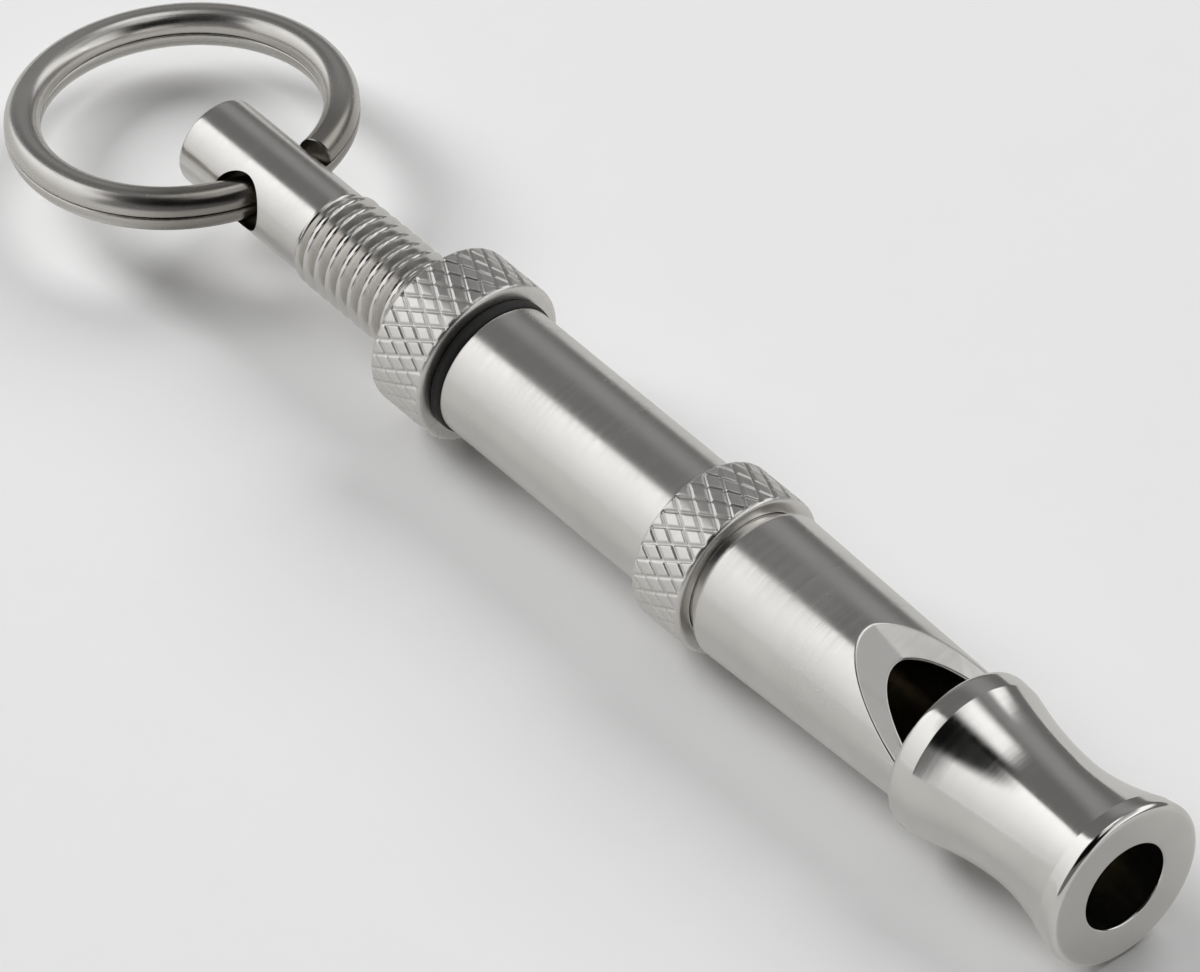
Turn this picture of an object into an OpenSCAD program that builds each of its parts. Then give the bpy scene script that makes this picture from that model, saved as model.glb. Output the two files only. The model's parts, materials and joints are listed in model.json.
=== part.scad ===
// Adjustable training whistle: a mouthpiece, a head tube with its sound window, a barrel, and a
// threaded tuning rod that carries a piston inside, a knurled lock nut and a split ring outside.
// The frame has its origin at the centre of the mouth face, +X out of the mouth, +Z up.
// A "station" is a distance in mm behind the mouth face, so a station s lies at x = -s.

/* [Whistle] */
// Length from the mouth face to the end of the tuning rod
whistle_len = 64.2; // [62:0.1:68]
// Bore that runs through the head tube and the barrel
tube_bore_d = 5.5; // [5.3:0.05:5.6]
// Direction of the sound window, turned from straight up towards -Y
window_turn = 9; // [8:1:10]

/* [Mouthpiece] */
// Length of the mouthpiece
mouth_len = 11.4; // [11:0.1:12]
// Diameter of the flared lip
lip_d = 8.8; // [8.2:0.1:9.4]
// Diameter of the waist
waist_d = 6.8; // [6.6:0.05:7.2]
// Diameter of the bead at the back
bead_d = 8.45; // [8:0.05:9]
// Diameter of the mouth bore
mouth_bore_d = 4.6; // [4:0.1:5]

/* [Head and barrel] */
// Diameter of the head tube just behind the mouthpiece
head_front_d = 7.05; // [6.9:0.05:7.4]
// Diameter of the head tube at its back end
head_rear_d = 7.75; // [7.6:0.05:8.2]
// Station of the back end of the head tube
head_end = 25.2; // [24.5:0.1:26]
// Outside diameter of the barrel
barrel_d = 6.8; // [6.6:0.05:7]
// Length of the barrel that shows behind the grip collar
barrel_show_len = 14.6; // [13:0.1:16]
// Diameter over the knurling of the grip collar and the lock nut
grip_d = 8.45; // [8:0.05:9]
// Length of the grip collar
collar_len = 3.25; // [3:0.05:3.6]
// Length of the lock nut
nut_len = 3.45; // [3:0.05:3.8]

/* [Tuning rod] */
// Diameter of the smooth end of the rod
rod_d = 4.6; // [4.4:0.05:4.8]
// Crest diameter of the rod thread
thread_d = 5; // [4.9:0.05:5]
// Pitch of the rod thread
thread_pitch = 0.8; // [0.7:0.1:0.8]
// Length of the smooth end of the rod
rod_plain_len = 8.2; // [7.6:0.1:9]
// Diameter of the cross hole for the ring
hole_d = 2.9; // [2.85:0.05:3]
// Distance from the rod's end to the cross hole
hole_inset = 4.3; // [3.9:0.1:4.6]
// Slope of the cross hole, up towards -Y
hole_slope = 6; // [4:1:7]

/* [Split ring] */
// Inside diameter of the ring
ring_inner_d = 13.4; // [13:0.1:15]
// Width of the rounded wire, measured across the ring
wire_w = 1.72; // [1.6:0.02:1.72]
// Thickness of one turn of the rounded wire
wire_t = 1.04; // [0.94:0.02:1.04]
// Downward slope of the ring behind the rod
ring_droop = 8; // [4:1:10]
// Turn of the ring about the vertical
ring_yaw = 4; // [2:1:6]
// Sideways tilt of the ring
ring_tilt = 1.5; // [1:0.5:3]

/* [Hidden] */
$fn = 96;

// Half of the free play between two turned faces that are soldered or pressed together
joint_gap = 0.02;
// Radial play of a thread or a bearing that has to turn
run_gap = 0.05;
// Extra length that lets a cutting body pass through a face
over = 1;
// Size of an edge that is only broken with a file
edge = 0.15;

plating = [0.80, 0.79, 0.77];
dark_steel = [0.55, 0.55, 0.54];
brass = [0.78, 0.62, 0.33];
rubber = [0.08, 0.08, 0.08];

tube_r = tube_bore_d / 2;
barrel_r = barrel_d / 2;
grip_r = grip_d / 2;
rod_r = rod_d / 2;
crest_r = thread_d / 2;
thread_bore_r = crest_r + run_gap;

// Mouthpiece: the bore meets a socket that takes the spigot of the head tube
lip_r = lip_d / 2;
waist_r = waist_d / 2;
bead_r = bead_d / 2;
mouth_bore_r = mouth_bore_d / 2;
spigot_d = 6.6;
spigot_r = spigot_d / 2;
spigot_len = 3.4;
socket_start = mouth_len - spigot_len;
waist_at = 5.2;
lip_band = 1.05;
lip_band_drop = 0.18;
bead_front = 10.15;
bead_band_drop = 0.055;
bead_at = 11;
bead_round = 0.3;
flare_power = 1.85;
bore_edge = 0.2;
curve_steps = 20;

// Windway plug: a flat on its window side leaves the slit that the air passes through
plug_len = 2.6;
slit_h = 0.6;

// Sound window: an inclined flat that starts just under the mouthpiece's back edge
window_start = mouth_len - 0.3;
window_drop = 1.68;
window_slope = 23.5;
window_len = 8;
cut_size = 20;

// Joint between head tube and barrel
barrel_insert = 3;
neck = 0.6;
collar_start = head_end + neck;
barrel_start = head_end - barrel_insert;
barrel_end = collar_start + collar_len + barrel_show_len;
bush_len = 5;
bush_r = 3.1;
bush_start = barrel_end - bush_len;

// Lock nut and its washer sit against the end of the barrel
washer_t = 0.6;
washer_d = 6.7;
nut_start = barrel_end + washer_t;
grip_edge = 0.35;

// Tuning rod, from the piston back to the plain end
plain_start = whistle_len - rod_plain_len;
thread_start = 30;
thread_depth = 0.49;
thread_flat = 0.1;
thread_turns = floor((plain_start - thread_start) / thread_pitch);
stem_r = 1.6;
piston_start = 22.8;
piston_len = 2.6;
seal_w = 0.9;
seal_groove_depth = 0.7;
seal_start = piston_start + (piston_len - seal_w) / 2;
hole_r = hole_d / 2;
hole_at = whistle_len - hole_inset;
hole_lift = 0.13;
hole_flare = 0.35;
hole_flare_from = 1.2;

// Split ring: two turns of rounded wire, the upper one open for a short way
ring_inner_r = ring_inner_d / 2;
ring_mean_r = ring_inner_r + wire_w / 2;
wire_round = 0.45;
ring_gap_from = 7;
ring_gap = 14;

// Moves the children back to a station and points +X of their revolved shape along -X
module at_station(s) {
    translate([-s, 0, 0]) rotate([0, -90, 0]) children();
}

// A cylinder between two stations
module bar(s, len, r) {
    at_station(s) cylinder(h = len, r = r);
}

// A tube between two stations
module tube(s, len, r_out, r_in) {
    difference() {
        bar(s, len, r_out);
        bar(s - over, len + 2 * over, r_in);
    }
}

// A turned ring with broken edges
module edged_ring(s, len, r_out, r_in, e) {
    at_station(s) rotate_extrude() polygon([
        [r_in, 0],
        [r_out - e, 0],
        [r_out, e],
        [r_out, len - e],
        [r_out - e, len],
        [r_in, len]
    ]);
}

// A point of a flare that opens from the waist, a share t of the way to its end: [radius, station]
function flare(t, end_r, end_at) = [
    waist_r + (end_r - waist_r) * pow(t, flare_power),
    waist_at + (end_at - waist_at) * t
];

// Outline of the mouthpiece: the lip's flare down to the waist, then the bead's flare and band
lip_curve = [
    for (i = [0 : curve_steps]) flare(1 - i / curve_steps, lip_r - lip_band_drop, lip_band)
];
bead_curve = [
    for (i = [1 : curve_steps]) flare(i / curve_steps, bead_r - bead_band_drop, bead_front)
];
bead_edge = [
    for (i = [1 : 5])
        let (a = 90 * i / 5)
        [bead_r - bead_round * (1 - cos(a)), bead_at + (mouth_len - bead_at) * sin(a)]
];

module mouthpiece() {
    color(plating) at_station(0) rotate_extrude() polygon(concat(
        [[mouth_bore_r + bore_edge, 0], [lip_r - edge, 0], [lip_r, edge]],
        lip_curve,
        bead_curve,
        [[bead_r, bead_at]],
        bead_edge,
        [
            [spigot_r + joint_gap, mouth_len],
            [spigot_r + joint_gap, socket_start],
            [mouth_bore_r, socket_start],
            [mouth_bore_r, bore_edge]
        ]
    ));
}

module windway_plug() {
    plug_start = mouth_len - plug_len;
    color(brass) difference() {
        bar(plug_start, plug_len, tube_r - joint_gap);
        rotate([window_turn, 0, 0])
            translate([-mouth_len - over, -cut_size / 2, tube_r - slit_h])
                cube([plug_len + 2 * over, cut_size, cut_size]);
    }
}

module head_tube() {
    body_len = head_end - mouth_len;
    color(plating) difference() {
        union() {
            bar(socket_start, spigot_len, spigot_r);
            at_station(mouth_len)
                cylinder(h = body_len - edge, r1 = head_front_d / 2, r2 = head_rear_d / 2);
            at_station(head_end - edge)
                cylinder(h = edge, r1 = head_rear_d / 2, r2 = head_rear_d / 2 - edge);
        }
        bar(socket_start - over, mouth_len + body_len, tube_r);
        bar(barrel_start, barrel_insert + over, barrel_r + joint_gap);
        rotate([window_turn, 0, 0]) window_wedge();
    }
}

// What the sound window takes away: straight down behind the mouthpiece, then a rising flat
module window_wedge() {
    floor_z = tube_r - window_drop;
    rise = window_len * tan(window_slope);
    rotate([90, 0, 0]) linear_extrude(height = cut_size, center = true) polygon([
        [-window_start, floor_z],
        [-window_start, floor_z + rise],
        [-window_start - window_len, floor_z + rise]
    ]);
}

module grip_collar() {
    color(plating)
        edged_ring(collar_start, collar_len, grip_r, barrel_r + joint_gap, grip_edge);
}

module barrel() {
    color(plating) difference() {
        edged_ring(barrel_start, barrel_end - barrel_start, barrel_r, tube_r, edge);
        bar(bush_start, bush_len + over, bush_r + joint_gap);
    }
}

module thread_bush() {
    color(brass) tube(bush_start, bush_len, bush_r, thread_bore_r);
}

// Outline of the threaded length, one trapezoidal groove for each turn: [radius, station]
function groove(s) = [
    [crest_r, s + thread_flat],
    [crest_r - thread_depth, s + (thread_pitch - thread_flat) / 2],
    [crest_r - thread_depth, s + (thread_pitch + thread_flat) / 2],
    [crest_r, s + thread_pitch - thread_flat]
];

module cross_hole() {
    translate([-hole_at, 0, hole_lift]) rotate([90 - hole_slope, 0, 0]) {
        cylinder(h = 2 * cut_size, r = hole_r, center = true);
        for (side = [0, 180])
            rotate([side, 0, 0]) translate([0, 0, hole_flare_from])
                cylinder(h = over, r1 = hole_r, r2 = hole_r + over * hole_flare);
    }
}

module tuning_rod() {
    stem_start = piston_start + edge;
    color(plating) difference() {
        at_station(0) rotate_extrude() polygon(concat(
            [[0, stem_start], [stem_r, stem_start], [stem_r, thread_start]],
            [for (i = [0 : thread_turns - 1]) each groove(thread_start + i * thread_pitch)],
            [
                [rod_r, plain_start],
                [rod_r, whistle_len - edge],
                [rod_r - edge, whistle_len],
                [0, whistle_len]
            ]
        ));
        cross_hole();
    }
}

module piston() {
    piston_r = tube_r - run_gap;
    groove_r = tube_r - seal_groove_depth;
    color(brass) at_station(0) rotate_extrude() polygon([
        [0, piston_start],
        [piston_r, piston_start],
        [piston_r, seal_start - joint_gap],
        [groove_r, seal_start - joint_gap],
        [groove_r, seal_start + seal_w + joint_gap],
        [piston_r, seal_start + seal_w + joint_gap],
        [piston_r, piston_start + piston_len],
        [stem_r + joint_gap, piston_start + piston_len],
        [stem_r + joint_gap, piston_start + edge - joint_gap],
        [0, piston_start + edge - joint_gap]
    ]);
}

module piston_seal() {
    color(rubber)
        tube(seal_start, seal_w, tube_r - joint_gap, tube_r - seal_groove_depth + joint_gap);
}

module lock_washer() {
    color(rubber) edged_ring(barrel_end, washer_t, washer_d / 2, thread_bore_r, edge / 2);
}

module lock_nut() {
    color(plating) edged_ring(nut_start, nut_len, grip_r, thread_bore_r, grip_edge);
}

// Section of one turn of wire, with well rounded corners
module wire_section(z) {
    translate([ring_inner_r, z]) for (side = [0, 1]) {
        translate([side * (wire_w - 2 * wire_round) + wire_round, wire_round])
            circle(r = wire_round, $fn = 32);
        translate([side * (wire_w - 2 * wire_round) + wire_round, wire_t - wire_round])
            circle(r = wire_round, $fn = 32);
        translate([side * (wire_w - wire_round), wire_round])
            square([wire_round, wire_t - 2 * wire_round]);
    }
    translate([ring_inner_r + wire_round, z]) square([wire_w - 2 * wire_round, wire_t]);
}

module split_ring() {
    color(dark_steel)
        translate([-hole_at, 0, hole_lift])
            rotate([-ring_tilt, 0, -ring_yaw]) rotate([0, -ring_droop, 0])
                translate([-ring_mean_r, 0, 0]) {
                    rotate_extrude() wire_section(-wire_t);
                    rotate([0, 0, ring_gap_from + ring_gap])
                        rotate_extrude(angle = 360 - ring_gap) wire_section(0);
                }
}

mouthpiece();
windway_plug();
head_tube();
grip_collar();
barrel();
thread_bush();
tuning_rod();
piston();
piston_seal();
lock_washer();
lock_nut();
split_ring();
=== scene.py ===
"""Looks of the training whistle: knurls, thread, wound ring, plated finishes, light and camera.

The turned pieces share the X axis. A "station" is a distance behind the mouth face, so a station
s lies at x = -s. A "turn" is an angle about that axis, from straight up towards -Y. Lengths are
in millimetres until place() makes a point of them, and in metres in every mesh.
"""

import json
import math

import bmesh
import bpy
from mathutils import Matrix, Vector


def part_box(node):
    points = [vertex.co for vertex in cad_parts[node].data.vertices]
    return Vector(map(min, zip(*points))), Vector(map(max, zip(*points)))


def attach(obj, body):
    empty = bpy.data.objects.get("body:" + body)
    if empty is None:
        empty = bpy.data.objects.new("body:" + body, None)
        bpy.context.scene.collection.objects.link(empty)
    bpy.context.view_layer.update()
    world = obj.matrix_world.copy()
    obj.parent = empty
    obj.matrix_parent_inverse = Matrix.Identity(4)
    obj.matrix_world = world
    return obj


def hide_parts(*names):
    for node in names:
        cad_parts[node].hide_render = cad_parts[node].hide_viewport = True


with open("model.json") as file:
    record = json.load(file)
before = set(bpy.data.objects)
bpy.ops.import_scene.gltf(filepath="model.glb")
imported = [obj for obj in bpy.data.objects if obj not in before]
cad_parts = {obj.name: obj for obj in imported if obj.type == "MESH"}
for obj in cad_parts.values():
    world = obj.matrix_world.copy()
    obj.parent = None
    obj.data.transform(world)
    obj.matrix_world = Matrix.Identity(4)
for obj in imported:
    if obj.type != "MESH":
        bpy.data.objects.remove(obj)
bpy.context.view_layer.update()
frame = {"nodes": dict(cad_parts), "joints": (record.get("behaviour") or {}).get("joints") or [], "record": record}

MM = 0.001
FULL = 2 * math.pi
QUARTER = math.pi / 2

# --- Sizes in millimetres: places from the frame, the rest from the CAD model ---------------


def span(node):
    """Stations of a node's front and back ends, and its largest radius."""
    low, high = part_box(node)
    return -high.x / MM, -low.x / MM, max(high.y, high.z, -low.y, -low.z) / MM


lip_front, mouth_back, lip_r = span("mouthpiece")
spigot_front, head_back, head_rear_r = span("head_tube")
collar_front, collar_back, collar_r = span("grip_collar")
barrel_front, barrel_back, barrel_r = span("barrel")
bush_front, _, bush_r = span("thread_bush")
washer_front, washer_back, washer_r = span("lock_washer")
nut_front, nut_back, nut_r = span("lock_nut")
rod_front, rod_back, crest_r = span("tuning_rod")
rod_bore_r = crest_r + 0.05
play = 0.02

# The mouthpiece: a waist between the lip and a bead, each of them with a narrow plain band.
mouth_bore_r = 2.3
waist_at = 5.2
waist_r = 3.4
lip_band = 1.05
lip_band_drop = 0.18
bead_front = 10.15
bead_band_drop = 0.055
bead_at = 11
bead_r = 4.225
bead_round = 0.3
flare_power = 1.85
spigot_r = 3.3

# The head tube: a taper, and a window whose floor rises backwards from the bore.
tube_r = 2.75
head_front_r = 3.525
window_turn = math.radians(9)
window_slope = math.tan(math.radians(23.5))
window_floor = 1.07
window_floor_at = 11.1
window_crease = 0.05
window_crease_at = 0.45
window_foot = 0.6
window_lip = 0.09
window_edge = 0.45
rear_bevel = 0.25
rear_bevel_drop = rear_bevel / 3

# The tuning rod: a thin stem, a thread, and a smooth end with a cross hole.
stem_r = 1.6
thread_front = 30
thread_back = 55.6
thread_pitch = 0.8
root_r = crest_r - 0.49
plain_front = 55.8
plain_r = 2.3
hole_r = 1.43
hole_slope = math.radians(6)
hole_flare_from = 1.4
hole_flare_r = 1.56
# Inside the cross hole the rod is painted dark, as painted shade.
hole_shade = 3
hole_shade_r = plain_r - 0.12

# The split ring: the wire's section, its cut end, the ramp from one turn to the other, and how
# far short of the ramp the lower turn ends.
wire_w = 1.72
wire_t = 1.04
wire_seam = 0.17
wire_bulge = 0.95
wire_flat = 0.3
wire_points = 48
wire_nose = 0.12
ring_cut = math.radians(21)
ring_ramp = math.radians(14)
ring_short = math.radians(2)

# Roundings, from the visible edges down to the hidden ones.
lip_edge = 0.3
bevel_edge = 0.3
band_edge = 0.25
washer_edge = 0.2
washer_bulge = 0.17
barrel_back_edge = 0.14
bore_edge = 0.1
washer_bore_edge = 0.08
deep_edge = 0.05
seat_edge = 0.04
tube_mouth_edge = 0.03
corner_edge = 0.02

# --- Mesh tools ----------------------------------------------------------------------------

around = 192
fillet_steps = 5
sharp_angle = math.radians(38)
weld_distance = 0.0005
shortest_side = 1e-6
flattest_half = math.radians(89.5)
side_used = 0.4
support_share = 0.5
support_limit = 0.3
halvings = 48


def place(station, radius, turn):
    """The point at a station, a radius and a turn, in metres."""
    return Vector((-station, -radius * math.sin(turn), radius * math.cos(turn))) * MM


def finish_mesh(mesh):
    """Merges touching points, points the faces outwards and shades all but the real edges smooth."""
    work = bmesh.new()
    work.from_mesh(mesh)
    bmesh.ops.remove_doubles(work, verts=work.verts, dist=weld_distance * MM)
    bmesh.ops.recalc_face_normals(work, faces=work.faces)
    work.to_mesh(mesh)
    work.free()
    mesh.shade_smooth()
    mesh.set_sharp_from_angle(angle=sharp_angle)


def skin(name, rings, closed=True, shade=None):
    """A piece over a row of rings of points. A row that isn't closed gets a flat cap at each end.

    shade holds a number for each point, kept as the attribute "detail" that a material reads.
    """
    count = len(rings[0])
    faces = []
    for i in range(len(rings) if closed else len(rings) - 1):
        here = i * count
        there = (i + 1) % len(rings) * count
        for j in range(count):
            k = (j + 1) % count
            faces.append((here + j, here + k, there + k, there + j))
    if not closed:
        last = (len(rings) - 1) * count
        faces.append(tuple(range(count)))
        faces.append(tuple(range(last, last + count)))
    mesh = bpy.data.meshes.new(name)
    mesh.from_pydata([point for ring in rings for point in ring], [], faces)
    if shade:
        detail = mesh.attributes.new("detail", "FLOAT", "POINT")
        detail.data.foreach_set("value", [value for ring in shade for value in ring])
    finish_mesh(mesh)
    piece = bpy.data.objects.new(name, mesh)
    bpy.context.scene.collection.objects.link(piece)
    return piece


def fillet(before, corner, after, size, steps=fillet_steps):
    """The corner as an arc with a support point at each side, always the same number of points."""
    corner = Vector(corner)
    one = Vector(before) - corner
    two = Vector(after) - corner
    reach_one, reach_two = one.length, two.length
    plain = [corner.copy() for _ in range(steps + 3)]
    if min(reach_one, reach_two) < shortest_side:
        return plain
    one.normalize()
    two.normalize()
    half = one.angle(two) / 2
    if half > flattest_half:
        return plain
    back_off = min(size / math.tan(half), side_used * min(reach_one, reach_two))
    size = back_off * math.tan(half)
    middle = corner + (one + two).normalized() * (size / math.sin(half))
    start = corner + one * back_off - middle
    sweep = math.pi - 2 * half
    side = 1 if start.cross(corner + two * back_off - middle) > 0 else -1
    arc = [middle + Matrix.Rotation(side * sweep * i / steps, 2) @ start for i in range(steps + 1)]
    support = support_share * back_off
    first = corner + one * (back_off + min(support, support_limit * (reach_one - back_off)))
    final = corner + two * (back_off + min(support, support_limit * (reach_two - back_off)))
    return [first, *arc, final]


def rounded(corners):
    """A closed outline from corners (station, radius) or (station, radius, fillet size)."""
    outline = []
    for i, corner in enumerate(corners):
        if len(corner) == 2:
            outline.append(Vector(corner))
            continue
        before = corners[i - 1][:2]
        after = corners[(i + 1) % len(corners)][:2]
        outline += fillet(before, corner[:2], after, corner[2])
    return outline


def lathe(name, outline, tones=None):
    """A turned piece: the outline of (station, radius) points swept round the axis.

    tones holds a number for each point of the outline, for the attribute "detail".
    """
    rings = [[place(s, r, FULL * j / around) for j in range(around)] for s, r in outline]
    return skin(name, rings, shade=tones and [[tone] * around for tone in tones])


def cut(piece, tool, operation="DIFFERENCE"):
    """Changes the piece by an exact boolean with a tool that isn't kept."""
    modifier = piece.modifiers.new("cut", "BOOLEAN")
    modifier.operation = operation
    modifier.solver = "EXACT"
    modifier.object = tool
    graph = bpy.context.evaluated_depsgraph_get()
    mesh = bpy.data.meshes.new_from_object(piece.evaluated_get(graph))
    piece.modifiers.clear()
    old = piece.data
    piece.data = mesh
    mesh.name = piece.name
    bpy.data.meshes.remove(old)
    bpy.data.objects.remove(tool)
    finish_mesh(mesh)


def ease(t):
    """Smooth step from 0 to 1."""
    t = min(max(t, 0), 1)
    return t * t * (3 - 2 * t)


def evenly(start, end, steps):
    """Numbers from start to end, both included."""
    return [start + (end - start) * i / steps for i in range(steps + 1)]


def limit_of(low, high, holds):
    """The number between low and high up to which a condition holds."""
    for _ in range(halvings):
        middle = (low + high) / 2
        if holds(middle):
            low = middle
        else:
            high = middle
    return low


# --- Turned pieces -------------------------------------------------------------------------


def flare(share, end_at, end_r):
    """A point of a flare that opens from the waist, a share of the way to its end."""
    return waist_at + (end_at - waist_at) * share, waist_r + (end_r - waist_r) * share**flare_power


def make_mouthpiece():
    """The bore, the lip's flare, the waist, the bead, and the socket behind."""
    steps = 48
    bead_steps = 9
    face_depth = 0.01
    lip = [flare(t, lip_band, lip_r - lip_band_drop) for t in evenly(1, 0, steps)]
    bead = [flare(t, bead_front, bead_r - bead_band_drop) for t in evenly(0, 1, steps)]
    bead_edge = [
        (
            bead_at + (mouth_back - bead_at) * math.sin(a),
            bead_r - bead_round * (1 - math.cos(a)),
        )
        for a in evenly(0, QUARTER, bead_steps)
    ]
    corners = [(lip_front, mouth_bore_r, bore_edge), (lip_front, lip_r, lip_edge)]
    corners += [(*lip[0], band_edge), *lip[1:], *bead[1:-1], (*bead[-1], band_edge), *bead_edge]
    corners += [
        (mouth_back, spigot_r + play, seat_edge),
        (spigot_front, spigot_r + play, corner_edge),
        (spigot_front, mouth_bore_r, deep_edge),
    ]
    outline = rounded(corners)
    # The mouth's face gets tone 1, which darkens it: painted shade.
    tones = [float(station < face_depth) for station, radius in outline]
    return lathe("turned_mouthpiece", outline, tones)


def window_off(turn):
    """A turn counted from the window's middle, from minus half a turn to half a turn."""
    return (turn - window_turn + math.pi) % FULL - math.pi


def window_radius(station, off):
    """Radius of the window's floor at a station and a turn off the window's middle.

    The floor is two flats that meet in a faint crease, a little to the +Y side of the middle.
    """
    height = window_floor + (station - window_floor_at) * window_slope
    rise = window_crease * abs(height * math.tan(off) + window_crease_at)
    return (height + rise) / math.cos(off)


def outer_radius(station):
    """Radius of the head tube's taper at a station."""
    share = (station - mouth_back) / (head_back - mouth_back)
    return head_front_r + (head_rear_r - head_front_r) * share


def crossing(off, radius_at):
    """Station where the window's floor rises through a surface of the tube."""
    return limit_of(
        mouth_back, head_back, lambda station: window_radius(station, off) < radius_at(station)
    )


def head_column(turn):
    """Closed outline of the head tube's body at one turn, cut down to the window's floor.

    Every outline has the same number of points, so that they join into rings.
    """
    off = window_off(turn)
    lip_steps = 4
    foot = (mouth_back, tube_r)
    start = end = (mouth_back, head_front_r)
    if abs(off) < QUARTER and window_radius(mouth_back, off) < head_front_r:
        end_at = crossing(off, outer_radius)
        end = (end_at, outer_radius(end_at))
        start = (mouth_back, max(tube_r, window_radius(mouth_back, off)))
        if window_radius(mouth_back, off) < tube_r:
            start = (crossing(off, lambda station: tube_r), tube_r)
            foot = (start[0] + window_foot, tube_r)
    counterbore_r = barrel_r + play
    bevel_front = (head_back - rear_bevel, outer_radius(head_back - rear_bevel))
    bevel_back = (head_back, head_rear_r - rear_bevel_drop)
    seat_mouth = (head_back, counterbore_r)
    seat_foot = (barrel_front, counterbore_r)
    return [
        Vector(foot),
        *fillet(foot, start, end, window_lip, lip_steps),
        *[Vector(start).lerp(Vector(end), t) for t in (0.25, 0.5, 0.75)],
        *fillet(start, end, bevel_front, window_edge),
        *[Vector(end).lerp(Vector(bevel_front), t) for t in (0.3, 0.6, 0.9)],
        *fillet(end, bevel_front, bevel_back, bevel_edge),
        *fillet(bevel_front, bevel_back, seat_mouth, seat_edge),
        *fillet(bevel_back, seat_mouth, seat_foot, deep_edge),
        Vector(seat_foot),
        Vector((barrel_front, tube_r)),
    ]


def make_head_tube():
    """The tapered head with its window, and the spigot that goes into the mouthpiece.

    The even turns are joined by the four at which the window's edges meet the front end.
    """
    turns = {FULL * j / (2 * around) for j in range(2 * around)}
    for radius in (tube_r, head_front_r):
        for side in (1, -1):

            def below(off, radius=radius, side=side):
                return window_radius(mouth_back, side * off) < radius

            turns.add((window_turn + side * limit_of(0, QUARTER, below)) % FULL)
    turns = sorted(turns)
    columns = [(turn, head_column(turn)) for turn in turns]
    rings = [
        [place(*column[k], turn) for turn, column in columns] for k in range(len(columns[0][1]))
    ]
    body = skin("turned_head_tube", rings)
    cut(body, spigot_tool(turns), "UNION")
    return body


def spigot_tool(turns):
    """The spigot. It runs a little into the head tube's body, except under the window."""
    clear = math.radians(73)
    clear_fade = math.radians(4)
    overlap = 0.12
    front = spigot_front + play
    bore_r = tube_r + play / 2

    def back(turn):
        return mouth_back - play + overlap * ease((abs(window_off(turn)) - clear) / clear_fade)

    return skin(
        "spigot",
        [
            [place(front, bore_r, turn) for turn in turns],
            [place(front, spigot_r, turn) for turn in turns],
            [place(back(turn), spigot_r, turn) for turn in turns],
            [place(back(turn), bore_r, turn) for turn in turns],
        ],
    )


def make_barrel():
    """A plain tube with a wider bore for the bush at its back."""
    counterbore_r = bush_r + play
    return lathe(
        "drawn_barrel",
        rounded(
            [
                (barrel_front, tube_r, tube_mouth_edge),
                (barrel_front, barrel_r, bore_edge),
                (barrel_back, barrel_r, barrel_back_edge),
                (barrel_back, counterbore_r, tube_mouth_edge),
                (bush_front, counterbore_r, corner_edge),
                (bush_front, tube_r, corner_edge),
            ]
        ),
    )


def make_lock_washer():
    """A rubber washer whose rim bulges where the nut squeezes it."""
    squeezed_r = washer_r + washer_bulge
    return lathe(
        "rubber_washer",
        rounded(
            [
                (washer_front, rod_bore_r, washer_bore_edge),
                (washer_front, squeezed_r, washer_edge),
                (washer_back, squeezed_r, washer_edge),
                (washer_back, rod_bore_r, washer_bore_edge),
            ]
        ),
    )


# --- Knurled rings -------------------------------------------------------------------------

knurl_angle = math.radians(30)
knurl_depth = 0.085
knurl_half = 0.125
knurl_edge = 0.22
knurl_margin = 0.03
knurl_fade = 0.22
knurl_face = 1.6 * knurl_edge
knurl_samples = 22
rim_steps = 6


def groove_share(phase, pitch):
    """How deep a point lies in the nearest groove, from 0 on the land to 1 at the bottom."""
    away = abs(phase - round(phase)) * pitch
    return ease(1 - away / knurl_half)


def knurled(name, front, back, radius, bore_r, starts):
    """A ring with crossed grooves, plain rounded rims and a bore."""
    pitch_around = FULL * radius / starts
    pitch_along = pitch_around / math.tan(knurl_angle)
    pitch_across = pitch_around * math.cos(knurl_angle)
    count = starts * knurl_samples
    step = pitch_along / knurl_samples
    middle = (front + back) / 2
    half_rows = math.ceil(((back - front) / 2 - knurl_edge) / step)
    stations = [
        middle + i * step
        for i in range(-half_rows, half_rows + 1)
        if abs(i * step) < (back - front) / 2 - knurl_edge
    ]
    rim = [
        (knurl_edge * (1 - math.cos(a)), knurl_edge * (1 - math.sin(a)))
        for a in evenly(0, QUARTER, rim_steps)
    ]
    outer = [(front + s, radius - d) for s, d in rim[:-1]]
    outer += [(station, radius) for station in stations]
    outer += [(back - s, radius - d) for s, d in reversed(rim[:-1])]
    rings = []
    shade = []
    for station, limit in outer:
        ring = []
        tones = []
        for j in range(count):
            around_phase = j / knurl_samples
            along_phase = (station - middle) / pitch_along
            share = max(
                groove_share(around_phase + along_phase, pitch_across),
                groove_share(around_phase - along_phase, pitch_across),
            )
            share *= ease((min(station - front, back - station) - knurl_margin) / knurl_fade)
            ring.append(place(station, min(limit, radius - knurl_depth * share), FULL * j / count))
            tones.append(share)
        rings.append(ring)
        shade.append(tones)
    inner = [
        *fillet((back, radius), (back, bore_r), (front, bore_r), bore_edge),
        *fillet((back, bore_r), (front, bore_r), (front, radius), bore_edge),
    ]
    for station, r in [(back, radius - knurl_face), *inner, (front, radius - knurl_face)]:
        rings.append([place(station, r, FULL * j / count) for j in range(count)])
        shade.append([0] * count)
    return skin(name, rings, shade=shade)


def make_grip_collar():
    """The ring round the barrel, next to the head tube."""
    return knurled(
        "knurled_collar", collar_front, collar_back, collar_r, barrel_r + play, starts=30
    )


def make_lock_nut():
    """The nut round the rod's thread."""
    return knurled("knurled_nut", nut_front, nut_back, nut_r, rod_bore_r, starts=32)


# --- Tuning rod ----------------------------------------------------------------------------


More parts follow.
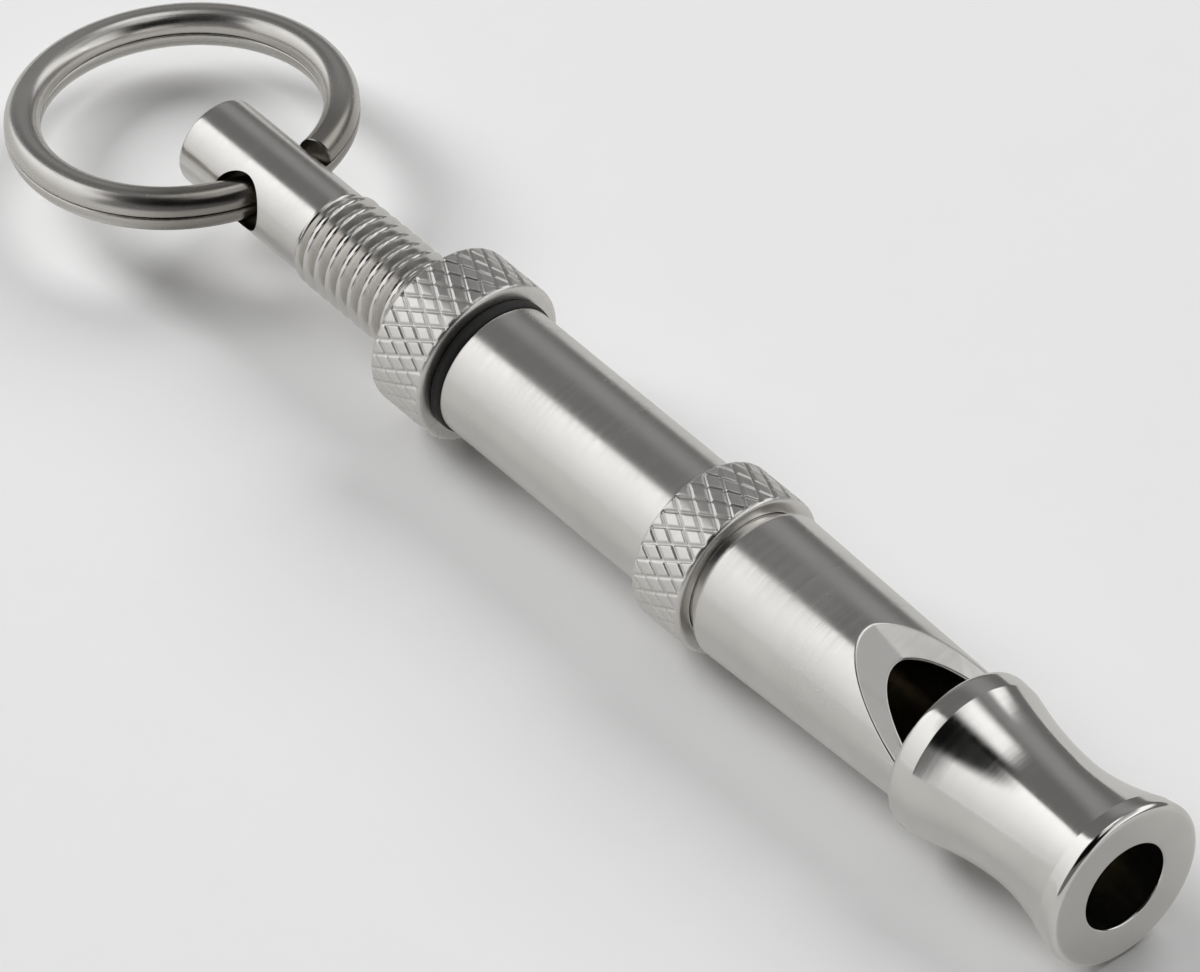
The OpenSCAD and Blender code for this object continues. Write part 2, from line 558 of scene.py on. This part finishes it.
def thread_height(phase):
    """Height of the thread's ridge at a phase of its turn, from 0 at the root to 1 on the crest."""
    root_flat = 0.14
    flank = 0.66
    roundness = 0.55
    ramp = 1 - abs(2 * (phase % 1) - 1)
    rise = min(max((ramp - root_flat) / flank, 0), 1)
    return (1 - roundness) * rise + roundness * ease(rise)


def make_tuning_rod():
    """The stem, the helical thread and the smooth end, with the cross hole cut through it.

    The attribute "detail" is the depth in the thread, and a large value inside the hole that paints it dark:
    painted shade.
    """
    samples = 20
    rod_around = 120
    plain_steps = 36
    step = thread_pitch / samples
    run_out = 0.6 * thread_pitch
    stem_edge = 0.1
    support = 0.3
    stem_support = 0.4
    stem_end = 0.6
    rod_edge = 0.2
    rod_face = 1.6 * rod_edge
    rings = []
    shade = []

    def add_ring(station, radius, tone=lambda turn: 0):
        turns = [FULL * j / rod_around for j in range(rod_around)]
        rings.append([place(station, radius(turn), turn) for turn in turns])
        shade.append([tone(turn) for turn in turns])

    for station, radius in [
        (rod_front, stem_r - stem_edge),
        (rod_front + stem_edge, stem_r),
        (rod_front + support, stem_r),
        (thread_front - stem_end, stem_r),
        (thread_front - stem_support, stem_r),
    ]:
        add_ring(station, lambda turn, r=radius: r)
    for i in range(round((thread_back - thread_front) / step) + 1):
        station = thread_front + i * step
        into = ease((station - thread_front) / thread_pitch)
        out = ease((thread_back - station) / run_out)

        def height(turn, station=station):
            return thread_height((station + thread_pitch * turn / FULL) / thread_pitch)

        def radius(turn, into=into, out=out, height=height):
            ridged = root_r + (crest_r - root_r) * height(turn)
            fading = plain_r + (ridged - plain_r) * out
            return stem_r + (fading - stem_r) * into

        add_ring(station, radius, lambda turn, out=out, height=height: (1 - height(turn)) * out)
    for station in evenly(plain_front, rod_back - 2 * rod_edge, plain_steps):
        add_ring(station, lambda turn: plain_r)
    for a in evenly(0, QUARTER, rim_steps):
        station = rod_back - rod_edge * (1 - math.sin(a))
        add_ring(station, lambda turn, a=a: plain_r - rod_edge * (1 - math.cos(a)))
    add_ring(rod_back, lambda turn: plain_r - rod_face)
    rod = skin("threaded_rod", rings, closed=False, shade=shade)
    cut(rod, hole_tool())
    # Painted shade: the points inside the cross hole get a large detail value, which darkens them.
    for vertex, detail in zip(rod.data.vertices, rod.data.attributes["detail"].data):
        near = abs(vertex.co.x - ring_at.x) < 2 * hole_r * MM
        if near and vertex.co.yz.length < hole_shade_r * MM:
            detail.value = hole_shade
    return rod


def hole_tool():
    """The cross hole with both mouths rounded out, along an axis that rises towards -Y."""
    steps = 8
    count = 72
    flare_curve = 2.4
    past = 0.6
    past_widening = 0.9
    half = [(0, hole_r)]
    for t in evenly(0, 1, steps):
        depth = hole_flare_from + (plain_r - hole_flare_from) * t
        half.append((depth, hole_r + (hole_flare_r - hole_r) * t**flare_curve))
    half.append((plain_r + past, hole_flare_r + past_widening))
    profile = [(-depth, radius) for depth, radius in reversed(half[1:])] + half
    axis = Vector((0, -math.cos(hole_slope), math.sin(hole_slope)))
    side = Vector((1, 0, 0))
    other = axis.cross(side)
    turns = [FULL * j / count for j in range(count)]
    rings = []
    for depth, radius in profile:
        middle = ring_at + axis * depth * MM
        rings.append(
            [middle + (side * math.cos(a) + other * math.sin(a)) * radius * MM for a in turns]
        )
    return skin("hole_tool", rings, closed=False)


# --- Split ring ----------------------------------------------------------------------------

ring_joint = next(joint for joint in frame["joints"] if joint["name"] == "ring_swing")
ring_eye = next(mount for mount in frame["record"]["mounts"] if mount["name"] == "ring_eye")
ring_at = Vector(ring_joint["pos_m"])
ring_middle = Vector(ring_eye["pos_m"])


def wire_section(lower, scale):
    """Points round the wire: (offset across the ring, height above the plane between the turns).

    The side towards the other turn is flat and the side away from it bulges. lower goes from 0 on
    the upper turn to 1 on the lower one.
    """
    bulge = wire_t - wire_seam
    above = (bulge + (wire_seam - bulge) * lower, wire_bulge + (wire_flat - wire_bulge) * lower)
    below = (wire_seam + (bulge - wire_seam) * lower, wire_flat + (wire_bulge - wire_flat) * lower)
    widest = wire_seam * (1 - 2 * lower)
    middle = widest + (above[0] - below[0]) / 2
    points = []
    for i in range(wire_points):
        a = FULL * (i + 0.5) / wire_points
        height, power = above if math.sin(a) > 0 else below
        side = math.copysign(abs(math.cos(a)) ** wire_bulge, math.cos(a))
        rise = math.copysign(abs(math.sin(a)) ** power * height, math.sin(a))
        points.append((side * wire_w / 2 * scale, middle + (widest + rise - middle) * scale))
    return points


def make_split_ring():
    """Two turns of wire: the upper turn from its cut end round to a ramp, then the lower turn.

    The attribute "detail" goes from 0 to 1 round the wire.
    """
    tangent = Vector(ring_joint["axis"]).normalized()
    normal = Vector(ring_eye["axis"]).normalized()
    outward = tangent.cross(normal).normalized()
    normal = outward.cross(tangent).normalized()
    mean_r = (ring_at - ring_middle).length / MM
    steps = 480
    nose_steps = 4
    ring_end = ring_cut + 2 * FULL - ring_ramp - ring_short
    rings = []
    shade = []

    def add_section(angle, scale):
        lower = ease((angle - (ring_cut + FULL - ring_ramp)) / ring_ramp)
        radial = outward * math.cos(angle) + tangent * math.sin(angle)
        section = wire_section(lower, scale)
        rings.append(
            [ring_middle + (radial * (mean_r + w) + normal * height) * MM for w, height in section]
        )
        shade.append([i / len(section) for i in range(len(section))])

    edge = wire_nose / mean_r
    ends = [
        (edge * (1 - math.sin(a)), 1 - wire_nose * (1 - math.sin(a)))
        for a in evenly(0, QUARTER, nose_steps)
    ]
    for back, scale in reversed(ends[1:]):
        add_section(ring_cut + back, scale)
    for angle in evenly(ring_cut + edge, ring_end - edge, steps):
        add_section(angle, 1)
    for back, scale in ends[1:]:
        add_section(ring_end - back, scale)
    return skin("wound_ring", rings, closed=False, shade=shade)


# --- Materials -----------------------------------------------------------------------------


def add_node(tree, kind, settings=None, **inputs):
    """A shader node with its settings and its inputs, each a value or another node's output."""
    made = tree.nodes.new("ShaderNode" + kind)
    for name, value in (settings or {}).items():
        setattr(made, name, value)
    for name, value in inputs.items():
        connect(tree, made.inputs[name.replace("_", " ")], value)
    return made


def connect(tree, socket, value):
    """Links an output to a socket, or sets the socket's value."""
    if isinstance(value, bpy.types.NodeSocket):
        tree.links.new(value, socket)
    else:
        socket.default_value = value


def calculate(tree, operation, *values):
    """The result of one sum on values or outputs."""
    made = tree.nodes.new("ShaderNodeMath")
    made.operation = operation
    for socket, value in zip(made.inputs, values):
        connect(tree, socket, value)
    return made.outputs[0]


def remap(tree, value, low, high, to_low, to_high, kind="LINEAR"):
    """A value moved from the range low to high to another range, and held at its ends."""
    made = add_node(
        tree,
        "MapRange",
        {"interpolation_type": kind},
        Value=value,
        From_Min=low,
        From_Max=high,
        To_Min=to_low,
        To_Max=to_high,
    )
    return made.outputs["Result"]


def blend(tree, share, first, second):
    """A colour between two colours, each of them three numbers or another node's output."""
    made = add_node(tree, "Mix", {"data_type": "RGBA"})
    connect(tree, made.inputs["Factor"], share)
    for name, colour in (("A", first), ("B", second)):
        is_output = isinstance(colour, bpy.types.NodeSocket)
        connect(tree, made.inputs[name], colour if is_output else (*colour, 1))
    return made.outputs["Result"]


def start_material(name):
    """A new material with its node tree and its shader."""
    material = bpy.data.materials.new(name)
    material.use_nodes = True
    tree = material.node_tree
    return material, tree, tree.nodes["Principled BSDF"]


def noise(tree, at, scale, detail=4, roughness=0.6):
    """Cloudy noise in space."""
    made = add_node(
        tree, "TexNoise", Vector=at, Scale=scale, Detail=detail, Roughness=roughness
    )
    return made.outputs["Fac"]


def lines_of(tree, along, scale):
    """Noise along one coordinate, which makes the fine lines of a tool or a die."""
    made = add_node(
        tree,
        "TexNoise",
        {"noise_dimensions": "1D"},
        W=along,
        Scale=scale,
        Detail=4,
        Roughness=0.7,
    )
    return made.outputs["Fac"]


def bump(tree, height, distance, strength, normal=None):
    """A normal bent by a height of some millimetres, on top of another normal."""
    made = add_node(tree, "Bump", Height=height, Distance=distance * MM, Strength=strength)
    if normal:
        tree.links.new(normal, made.inputs["Normal"])
    return made.outputs["Normal"]


# Noise scales count per metre. Each range is the part of a noise that is stretched to 0 to 1.
cloud_scale = 260
cloud_range = (0.35, 0.65)
speck_scale = 2400
scratch_scale = 900
scratch_range = (0.66, 0.76)
worn_range = (0.52, 0.6)
wide_range = (0.3, 0.7)
bloom_scale = 900
bloom_range = (0.4, 0.7)
moulded_scale = 6000
paper_scale = 300

silver = (0.83, 0.815, 0.79)
steel = (0.72, 0.7, 0.67)
dull_brass = (0.6, 0.47, 0.27)
# A dark grey that the metals darken towards; on the mouth's face and in the cross hole this is painted shade.
darkening_grey = (0.30, 0.28, 0.25)
soot = (0.012, 0.012, 0.012)
dust = (0.035, 0.034, 0.032)


def darker_near_hole(tree, at):
    """Darkening of the wire, from full near the cross hole to none further round the ring."""
    full_within, none_beyond = 4.5 * MM, 8 * MM
    strongest = 0.8
    away = add_node(tree, "VectorMath", {"operation": "DISTANCE"}, Vector=at)
    away.inputs[1].default_value = ring_at
    distance = away.outputs["Value"]
    return remap(tree, distance, full_within, none_beyond, strongest, 0, "SMOOTHSTEP")


def metal(name, colour, rough, line_scale, line_depth, grain, darken_by=0, wire=False):
    """Plated or bare metal: tool lines, cloudy polish, scratches, fine grain and worn edges.

    darken_by is how strongly the attribute "detail" darkens the metal towards a dark grey: painted shade on the
    mouth's face and inside the cross hole, and darker grooves in the knurls and the thread. On the wire, that
    attribute guides the lines of the drawing die instead, and the wire is darker near the cross hole.
    """
    cloud_tint = 0.94
    line_rough = 0.03
    scratch_rough = 0.1
    worn_polish = 0.05
    grain_depth = 0.004
    material, tree, shader = start_material(name)
    at = add_node(tree, "TexCoord").outputs["Object"]
    shade = add_node(tree, "Attribute", {"attribute_name": "detail"}).outputs["Fac"]
    along = shade if wire else add_node(tree, "SeparateXYZ", Vector=at).outputs["X"]
    # Darkening towards a dark grey: painted shade on the mouth's face and inside the cross hole, darker grooves on
    # the knurls and thread, and on the wire darker near the cross hole.
    darkening = darker_near_hole(tree, at) if wire else calculate(tree, "MULTIPLY", shade, darken_by)
    lines = lines_of(tree, along, line_scale)
    clouds = noise(tree, at, cloud_scale, detail=5)
    specks = noise(tree, at, speck_scale, detail=3)
    scratched = noise(tree, at, scratch_scale, detail=6, roughness=0.75)
    scratches = remap(tree, scratched, *scratch_range, 0, 1)
    edges = add_node(tree, "NewGeometry").outputs["Pointiness"]
    worn = remap(tree, edges, *worn_range, 0, 1)

    cloudy = remap(tree, clouds, *cloud_range, 0, 1)
    plain_colour = blend(tree, cloudy, colour, [cloud_tint * c for c in colour])
    connect(tree, shader.inputs["Base Color"], blend(tree, darkening, plain_colour, darkening_grey))

    roughness = remap(tree, clouds, *wide_range, *rough)
    for operation, change in (
        ("ADD", remap(tree, lines, *wide_range, -line_rough, line_rough)),
        ("ADD", calculate(tree, "MULTIPLY", scratches, scratch_rough)),
        ("SUBTRACT", calculate(tree, "MULTIPLY", worn, worn_polish)),
    ):
        roughness = calculate(tree, operation, roughness, change)
    connect(tree, shader.inputs["Roughness"], roughness)
    shader.inputs["Metallic"].default_value = 1
    relief = bump(tree, lines, line_depth, 1)
    connect(tree, shader.inputs["Normal"], bump(tree, specks, grain_depth, grain, relief))
    return material


def rubber(name):
    """Black rubber with a dusty bloom and a fine moulded grain."""
    grain_depth = 0.01
    rough = (0.5, 0.75)
    material, tree, shader = start_material(name)
    at = add_node(tree, "TexCoord").outputs["Object"]
    bloom = noise(tree, at, bloom_scale, detail=5)
    colour = blend(tree, remap(tree, bloom, *bloom_range, 0, 1), soot, dust)
    connect(tree, shader.inputs["Base Color"], colour)
    connect(tree, shader.inputs["Roughness"], remap(tree, bloom, *wide_range, *rough))
    grain = noise(tree, at, moulded_scale, detail=3)
    connect(tree, shader.inputs["Normal"], bump(tree, grain, grain_depth, 0.5))
    return material


# The mouth's face is darkened a little towards dark grey: painted shade.
polished_plating = metal(
    "polished_plating",
    silver,
    rough=(0.09, 0.15),
    line_scale=2600,
    line_depth=0.0012,
    grain=0.25,
    darken_by=0.1,
)
plating = metal(
    "plating", silver, rough=(0.17, 0.27), line_scale=3200, line_depth=0.0016, grain=0.35
)
knurled_plating = metal(
    "knurled_plating",
    silver,
    rough=(0.25, 0.36),
    line_scale=3200,
    line_depth=0.001,
    grain=0.4,
    darken_by=0.15,
)
# Darker in the thread's grooves, and much darker inside the cross hole: painted shade there.
rod_plating = metal(
    "rod_plating",
    silver,
    rough=(0.16, 0.26),
    line_scale=2800,
    line_depth=0.0014,
    grain=0.35,
    darken_by=0.3,
)
spring_steel = metal(
    "spring_steel", steel, rough=(0.2, 0.3), line_scale=26, line_depth=0.004, grain=0.3, wire=True
)
turned_brass = metal(
    "turned_brass", dull_brass, rough=(0.24, 0.36), line_scale=2400, line_depth=0.0025, grain=0.3
)
black_rubber = rubber("black_rubber")


def dress(piece, material, slot, body, *replaced):
    """Gives a piece its material, rides it on a body and hides what it replaces."""
    piece.data.materials.clear()
    piece.data.materials.append(material)
    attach(piece, body)
    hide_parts(*replaced)


dress(make_mouthpiece(), polished_plating, "polished_plating", "whistle_body", "mouthpiece")
dress(make_head_tube(), plating, "plating", "whistle_body", "head_tube")
dress(make_grip_collar(), knurled_plating, "knurled_plating", "whistle_body", "grip_collar")
dress(make_barrel(), plating, "plating", "whistle_body", "barrel")
dress(make_lock_washer(), black_rubber, "black_rubber", "nut_washer", "lock_washer")
dress(make_lock_nut(), knurled_plating, "knurled_plating", "lock_nut", "lock_nut")
dress(make_tuning_rod(), rod_plating, "plating", "tuning_rod", "tuning_rod")
dress(make_split_ring(), spring_steel, "spring_steel", "split_ring", "split_ring")

for node, material in {
    "windway_plug": turned_brass,
    "thread_bush": turned_brass,
    "piston": turned_brass,
    "piston_seal": black_rubber,
}.items():
    for material_slot in frame["nodes"][node].material_slots:
        material_slot.material = material

# --- Camera, floor and light ---------------------------------------------------------------

camera_azimuth = math.radians(49.93)
camera_elevation = math.radians(43.85)
camera_distance = 0.6365
focal_pixels = 13852.6
image_width = 1200
sensor_width = 36
nearest = 0.01
furthest = 10
aim_station = 40
aim_right = 2.443
aim_down = 3.401


def add_camera():
    """A long lens that looks down over the mouth."""
    back = Vector(
        (
            math.sin(camera_azimuth) * math.cos(camera_elevation),
            -math.cos(camera_azimuth) * math.cos(camera_elevation),
            math.sin(camera_elevation),
        )
    )
    right = Vector((math.cos(camera_azimuth), math.sin(camera_azimuth), 0))
    up = back.cross(right)
    target = Vector((-aim_station, 0, 0)) * MM + (right * aim_right - up * aim_down) * MM
    data = bpy.data.cameras.new("camera")
    data.sensor_width = sensor_width
    data.lens = focal_pixels / image_width * sensor_width
    data.clip_start = nearest
    data.clip_end = furthest
    camera = bpy.data.objects.new("camera", data)
    bpy.context.scene.collection.objects.link(camera)
    camera.matrix_world = (
        Matrix.Translation(target + back * camera_distance)
        @ Matrix((right, up, back)).transposed().to_4x4()
    )
    bpy.context.scene.camera = camera


def add_floor():
    """A pale matt floor that the lip rests on. The metal sees it as a darker, even grey: painted shade in its
    reflections, with a painted glow that lifts its shadows there.
    """
    floor_size = 8
    palest = (0.88, 0.88, 0.88)
    pale = (0.86, 0.86, 0.86)
    mirrored = (0.42, 0.417, 0.408)
    mirrored_glow = 0.19
    glow_colour = (1, 0.99, 0.97, 1)
    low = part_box("mouthpiece")[0].z
    bpy.ops.mesh.primitive_plane_add(size=floor_size, location=(0, 0, low))
    floor = bpy.context.object
    floor.name = "floor"
    material, tree, shader = start_material("floor")
    at = add_node(tree, "TexCoord").outputs["Object"]
    paper = blend(tree, noise(tree, at, paper_scale), pale, palest)
    seen = add_node(tree, "LightPath").outputs["Is Camera Ray"]
    connect(tree, shader.inputs["Base Color"], blend(tree, seen, mirrored, paper))
    # Painted glow: in reflections only, the floor gives off a little light of its own.
    glow = remap(tree, seen, 0, 1, mirrored_glow, 0)
    connect(tree, shader.inputs["Emission Strength"], glow)
    shader.inputs["Emission Color"].default_value = glow_colour
    shader.inputs["Roughness"].default_value = 0.9
    shader.inputs["Specular IOR Level"].default_value = 0.1
    floor.data.materials.append(material)


def fill(name, centre, size, radiance):
    """A square soft light that points at the whistle and leaves no reflection in it."""
    data = bpy.data.lights.new(name, "AREA")
    data.size = size
    data.energy = radiance * math.pi * size**2
    light = bpy.data.objects.new(name, data)
    bpy.context.scene.collection.objects.link(light)
    light.location = centre
    light.rotation_euler = (-Vector(centre)).to_track_quat("-Z", "Y").to_euler()
    light.visible_camera = False
    light.visible_glossy = False


# The panels of the studio, each by its share along X and its turn about that axis in degrees.
# A pair under "radiance" changes evenly between the two turns under "graded_over".
panels = {
    "long": {
        "radiance": (1.05, 0.56),
        "graded_over": (20, 82),
        "along": (-1.2, -0.1),
        "along_soft": 0.05,
        "turn": (14.5, 100),
        "turn_soft": 2.5,
    },
    "ceiling": {
        "radiance": 0.12,
        "along": (-1.2, 1.2),
        "along_soft": 0.1,
        "turn": (-66, -34),
        "turn_soft": 12,
    },
    "over_bead": {
        "radiance": 1.0,
        "along": (-0.33, 0.02),
        "along_soft": 0.07,
        "turn": (-25, 2),
        "turn_soft": 7,
    },
    "over_mouth": {
        "radiance": 0.75,
        "along": (0.07, 0.4),
        "along_soft": 0.05,
        "turn": (-12, 8),
        "turn_soft": 3,
    },
    "beside_mouth": {
        "radiance": 0.28,
        "along": (0.07, 0.4),
        "along_soft": 0.05,
        "turn": (-48, -12),
        "turn_soft": 3,
    },
    "far_side": {
        "radiance": 0.9,
        "along": (-0.23, 1.2),
        "along_soft": 0.05,
        "turn": (-70, -48),
        "turn_soft": 5,
    },
    "past_mouth": {
        "radiance": 0.6,
        "along": (0.5, 1.2),
        "along_soft": 0.1,
        "turn": (-48, -15),
        "turn_soft": 10,
    },
}

# An oval gap for the camera darkens the panels behind it. Elsewhere the studio is dim.
behind_gap = ("long", "ceiling")
dim = 0.15
past_floor = 0.9
gap_along = 0.3
gap_turn = math.radians(20)
gap_reach = 0.72
gap_width = math.radians(36)
gap_inner = 0.65
gap_outer = 1.25
gap_light = 0.02


def between(tree, value, low, high, soft):
    """1 where a value lies between two limits, fading to 0 across each of them."""
    rise = remap(tree, value, low - soft, low + soft, 0, 1, "SMOOTHSTEP")
    fall = remap(tree, value, high - soft, high + soft, 1, 0, "SMOOTHSTEP")
    return calculate(tree, "MULTIPLY", rise, fall)


def panel_light(tree, along, turn, panel):
    """The light of one panel in every direction."""
    radiance = panel["radiance"]
    if "graded_over" in panel:
        radiance = remap(tree, turn, *[math.radians(a) for a in panel["graded_over"]], *radiance)
    low, high = [math.radians(limit) for limit in panel["turn"]]
    shape = calculate(
        tree,
        "MULTIPLY",
        between(tree, along, *panel["along"], panel["along_soft"]),
        between(tree, turn, low, high, math.radians(panel["turn_soft"])),
    )
    return calculate(tree, "MULTIPLY", shape, radiance)


def gap_shade(tree, along, turn):
    """How much light the gap for the camera lets through: almost none inside, all outside."""
    off = 0
    for value, middle, reach in ((along, gap_along, gap_reach), (turn, gap_turn, gap_width)):
        share = calculate(tree, "DIVIDE", calculate(tree, "SUBTRACT", value, middle), reach)
        off = calculate(tree, "ADD", off, calculate(tree, "MULTIPLY", share, share))
    return remap(tree, off, gap_inner, gap_outer, gap_light, 1, "SMOOTHSTEP")


def add_world():
    """A studio of soft panels that only reflections see.

    A long panel stands on the -Y side, brightest at its top, and is broken with the ceiling by a
    dark gap for the camera. Short ones hang round the mouth and on the +Y side. Past the floor the
    camera sees a pale grey.
    """
    world = bpy.data.worlds.new("world")
    bpy.context.scene.world = world
    world.use_nodes = True
    tree = world.node_tree
    way = add_node(tree, "SeparateXYZ", Vector=add_node(tree, "TexCoord").outputs["Generated"])
    along = way.outputs["X"]
    left = calculate(tree, "MULTIPLY", way.outputs["Y"], -1)
    turn = calculate(tree, "ARCTAN2", left, way.outputs["Z"])
    light = dim
    for name in behind_gap:
        light = calculate(tree, "ADD", light, panel_light(tree, along, turn, panels[name]))
    light = calculate(tree, "MULTIPLY", light, gap_shade(tree, along, turn))
    for name, panel in panels.items():
        if name not in behind_gap:
            light = calculate(tree, "ADD", light, panel_light(tree, along, turn, panel))
    seen = add_node(tree, "LightPath").outputs["Is Camera Ray"]
    light = add_node(tree, "Mix", Factor=seen, A=light, B=past_floor).outputs["Result"]
    connect(tree, tree.nodes["Background"].inputs["Strength"], light)
    tree.nodes["Background"].inputs["Color"].default_value = (1, 1, 1, 1)
    world.cycles_visibility.diffuse = False


add_camera()
add_floor()
fill("back_fill", centre=(-1.3, -0.5, 0.95), size=0.8, radiance=10.2)
fill("side_fill", centre=(-0.3, 1.4, 1.2), size=1.3, radiance=4)
fill("top_fill", centre=(0, -0.2, 1.6), size=1.5, radiance=0.7)
add_world()
bpy.context.scene.view_settings.view_transform = "Standard"
